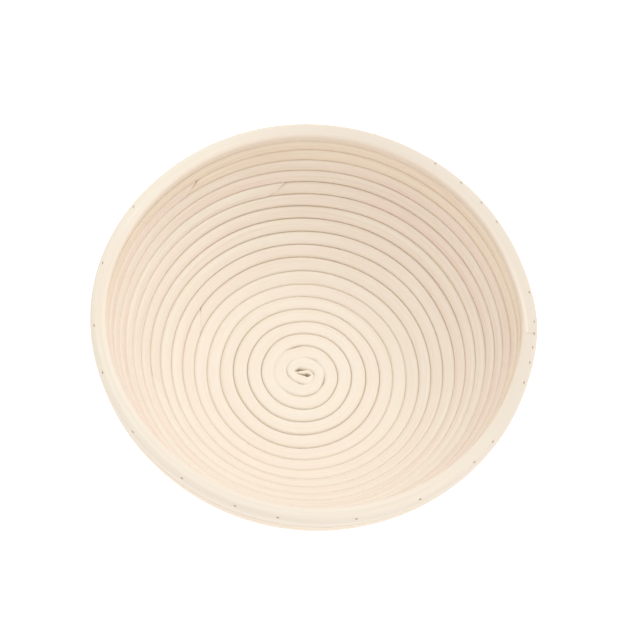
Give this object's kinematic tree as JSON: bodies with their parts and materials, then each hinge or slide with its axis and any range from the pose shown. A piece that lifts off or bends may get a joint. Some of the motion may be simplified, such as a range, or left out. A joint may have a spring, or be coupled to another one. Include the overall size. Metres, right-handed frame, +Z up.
{
  "type": "banneton basket",
  "caption": "Round dough-proofing basket: rattan cane coiled into a flat-floored bowl, nailed turn to turn, closed by a level rim hoop.",
  "frame": {"origin": "middle of the base, on the surface the basket stands on", "axes": "+Z up through the open mouth; +X to the right and +Y away from the side that the coil starts on"},
  "size_m": [0.2196, 0.2198, 0.0803],
  "materials": {
    "rattan_cane": "bare peeled rattan, matt, pale cream to peach",
    "rim_cane": "bare peeled rattan, matt, slightly yellower than the coil",
    "nail_steel": "dull dark steel wire nails"
  },
  "bodies": {
    "root": {"floor_cane": "rattan_cane", "lower_wall_cane": "rattan_cane", "middle_wall_cane": "rattan_cane", "upper_wall_cane": "rattan_cane", "top_cane": "rattan_cane", "rim_hoop": "rim_cane", "coil_nail_01": "nail_steel", "coil_nail_02": "nail_steel", "coil_nail_03": "nail_steel", "coil_nail_04": "nail_steel", "coil_nail_05": "nail_steel", "coil_nail_06": "nail_steel", "coil_nail_07": "nail_steel", "coil_nail_08": "nail_steel", "coil_nail_09": "nail_steel", "coil_nail_10": "nail_steel", "coil_nail_11": "nail_steel", "coil_nail_12": "nail_steel", "coil_nail_13": "nail_steel", "coil_nail_14": "nail_steel", "coil_nail_15": "nail_steel", "coil_nail_16": "nail_steel", "coil_nail_17": "nail_steel", "coil_nail_18": "nail_steel", "coil_nail_19": "nail_steel", "coil_nail_20": "nail_steel", "splice_nail_01": "nail_steel", "splice_nail_02": "nail_steel", "splice_nail_03": "nail_steel", "splice_nail_04": "nail_steel", "splice_nail_05": "nail_steel", "splice_nail_06": "nail_steel", "splice_nail_07": "nail_steel", "splice_nail_08": "nail_steel", "rim_nail_01": "nail_steel", "rim_nail_02": "nail_steel", "rim_nail_03": "nail_steel", "rim_nail_04": "nail_steel", "rim_nail_05": "nail_steel", "rim_nail_06": "nail_steel", "rim_nail_07": "nail_steel", "rim_nail_08": "nail_steel", "rim_nail_09": "nail_steel", "rim_nail_10": "nail_steel", "rim_nail_11": "nail_steel", "rim_nail_12": "nail_steel", "rim_nail_13": "nail_steel", "rim_nail_14": "nail_steel", "rim_nail_15": "nail_steel", "rim_nail_16": "nail_steel", "rim_nail_17": "nail_steel", "rim_nail_18": "nail_steel", "rim_nail_19": "nail_steel", "rim_nail_20": "nail_steel", "rim_nail_21": "nail_steel", "rim_nail_22": "nail_steel", "rim_nail_23": "nail_steel", "rim_nail_24": "nail_steel", "rim_nail_25": "nail_steel", "rim_nail_26": "nail_steel"}
  },
  "joints": []
}
